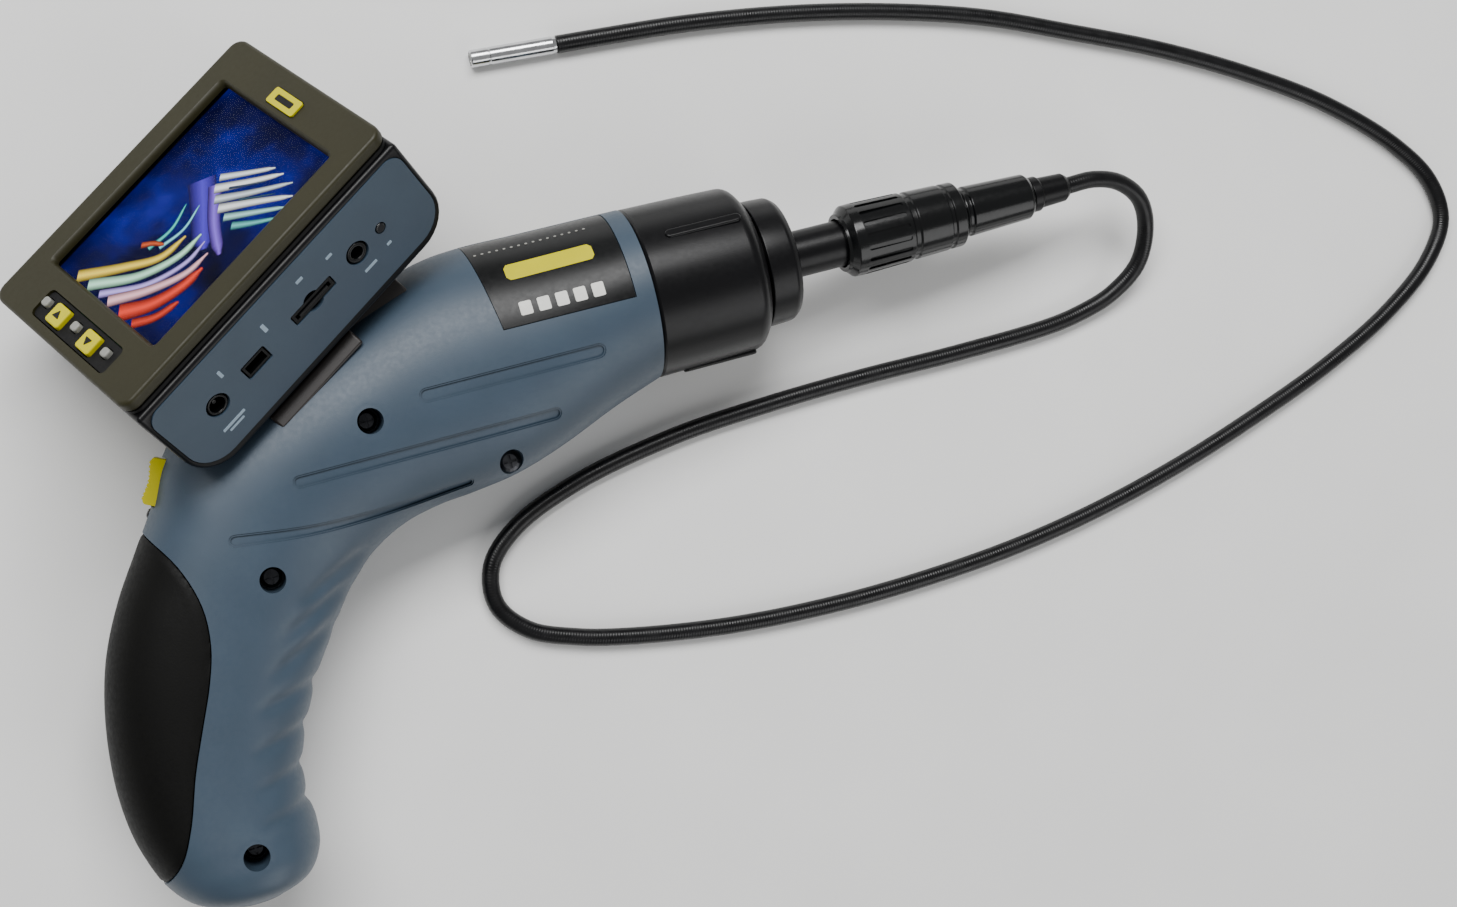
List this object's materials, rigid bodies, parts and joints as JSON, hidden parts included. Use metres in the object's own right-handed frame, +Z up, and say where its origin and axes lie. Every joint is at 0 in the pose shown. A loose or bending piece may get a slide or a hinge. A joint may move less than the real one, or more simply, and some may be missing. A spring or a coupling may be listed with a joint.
{
  "type": "inspection camera",
  "caption": "Pistol-grip video inspection camera lying on its side, with a swivelling slide-off monitor, battery door in the grip and a flexible plug-in probe.",
  "frame": {"origin": "on the table, under the centre of the bounding box of everything but the free cable, its ferrule and its tip", "axes": "+X along the barrel towards the nose, +Y from the grip towards the monitor, +Z up from the table, out of the handset's right side"},
  "size_m": [0.4767, 0.2374, 0.0789],
  "materials": {
    "shell": "blue-grey moulded plastic, satin",
    "black_plastic": "black moulded plastic, satin",
    "black_rubber": "black rubber, matt",
    "label": "black printed film, semi-gloss",
    "khaki_plastic": "khaki grey moulded plastic, satin",
    "yellow_plastic": "yellow-green moulded plastic",
    "grey_plastic": "light grey moulded plastic",
    "screen": "lit colour display",
    "clear_window": "clear plastic window",
    "circuit": "green circuit board",
    "steel": "bright plated steel",
    "screw": "dark zinc-plated steel",
    "cell": "wrapped battery cell",
    "white_plastic": "white moulded plastic",
    "dark_lens": "dark clear plastic"
  },
  "bodies": {
    "handset": {"right_shell": "shell", "left_shell": "shell", "shell_screw_1": "screw", "shell_screw_2": "screw", "shell_screw_3": "screw", "shell_screw_4": "screw", "nose_cap": "black_plastic", "nose_ring": "black_plastic", "probe_socket": "black_plastic", "right_label": "label", "left_label": "label", "battery_tray": "black_plastic", "battery_1": "cell", "battery_2": "cell", "battery_3": "cell", "battery_4": "cell", "battery_contact_top": "steel", "battery_contact_bottom": "steel", "rocker_board": "circuit", "status_led": "dark_lens", "main_board": "circuit", "transmitter_can": "steel", "antenna": "black_plastic", "dock_base": "black_plastic"},
    "door": {"battery_door": "black_plastic", "grip_pad": "black_rubber"},
    "rocker": {"thumb_rocker": "yellow_plastic"},
    "cradle": {"dock_shoe": "black_plastic"},
    "monitor": {"monitor_bezel": "khaki_plastic", "monitor_gasket": "black_rubber", "monitor_housing": "black_plastic", "port_panel": "shell", "blank_panel": "shell", "screen_window": "clear_window", "lcd_panel": "screen", "monitor_board": "circuit", "monitor_battery": "cell", "button_pad": "black_rubber", "video_jack": "black_plastic", "usb_port": "black_plastic", "power_jack": "black_plastic", "card_slot": "black_plastic", "charge_led": "dark_lens", "brand_tag": "yellow_plastic"},
    "card": {"memory_card": "label"},
    "probe": {"probe_plug": "steel", "rear_sleeve": "black_plastic", "ferrule": "black_plastic", "probe_cable": "black_rubber", "tip_barrel": "steel", "tip_lens": "dark_lens", "tip_led_ring": "white_plastic"},
    "sleeve": {"locking_sleeve": "black_plastic"},
    "up_button": {"up_key": "yellow_plastic"},
    "down_button": {"down_key": "yellow_plastic"},
    "power_button": {"power_key": "grey_plastic"},
    "menu_button": {"menu_key": "grey_plastic"},
    "record_button": {"record_key": "grey_plastic"}
  },
  "joints": [
    {"name": "battery_door_hinge", "type": "hinge", "parent": "handset", "child": "door", "pos_m": [-0.1515, -0.10667, 0.026], "axis": [0, 0, 1], "range_deg": [0, 75]},
    {"name": "thumb_rocker_pivot", "type": "hinge", "parent": "handset", "child": "rocker", "pos_m": [-0.12082, 0.00249, 0.026], "axis": [0, 0, 1], "range_deg": [-4, 4], "stiffness_Nm_per_rad": 0.2},
    {"name": "monitor_swivel", "type": "hinge", "parent": "handset", "child": "cradle", "pos_m": [-0.081, 0.04833, 0.026], "axis": [0.8329, 0.5534, 0], "range_deg": [-88, 0]},
    {"name": "monitor_detach", "type": "slide", "parent": "cradle", "child": "monitor", "axis": [0.8329, 0.5534, 0], "range_m": [0, 0.08]},
    {"name": "memory_card_slide", "type": "slide", "parent": "monitor", "child": "card", "axis": [0.3844, -0.5786, 0.7193], "range_m": [0, 0.016]},
    {"name": "probe_pull", "type": "slide", "parent": "handset", "child": "probe", "axis": [1, 0, 0], "range_m": [0, 0.016]},
    {"name": "locking_sleeve_turn", "type": "hinge", "parent": "probe", "child": "sleeve", "pos_m": [0.115, 0.02183, 0.026], "axis": [1, 0, 0], "continuous": true},
    {"name": "up_key_press", "type": "slide", "parent": "monitor", "child": "up_button", "axis": [0.3981, -0.5992, -0.6947], "range_m": [0, 0.0009], "stiffness_N_per_m": 400},
    {"name": "down_key_press", "type": "slide", "parent": "monitor", "child": "down_button", "axis": [0.3981, -0.5992, -0.6947], "range_m": [0, 0.0009], "stiffness_N_per_m": 400},
    {"name": "power_key_press", "type": "slide", "parent": "monitor", "child": "power_button", "axis": [0.3981, -0.5992, -0.6947], "range_m": [0, 0.0009], "stiffness_N_per_m": 400},
    {"name": "menu_key_press", "type": "slide", "parent": "monitor", "child": "menu_button", "axis": [0.3981, -0.5992, -0.6947], "range_m": [0, 0.0009], "stiffness_N_per_m": 400},
    {"name": "record_key_press", "type": "slide", "parent": "monitor", "child": "record_button", "axis": [0.3981, -0.5992, -0.6947], "range_m": [0, 0.0009], "stiffness_N_per_m": 400}
  ]
}
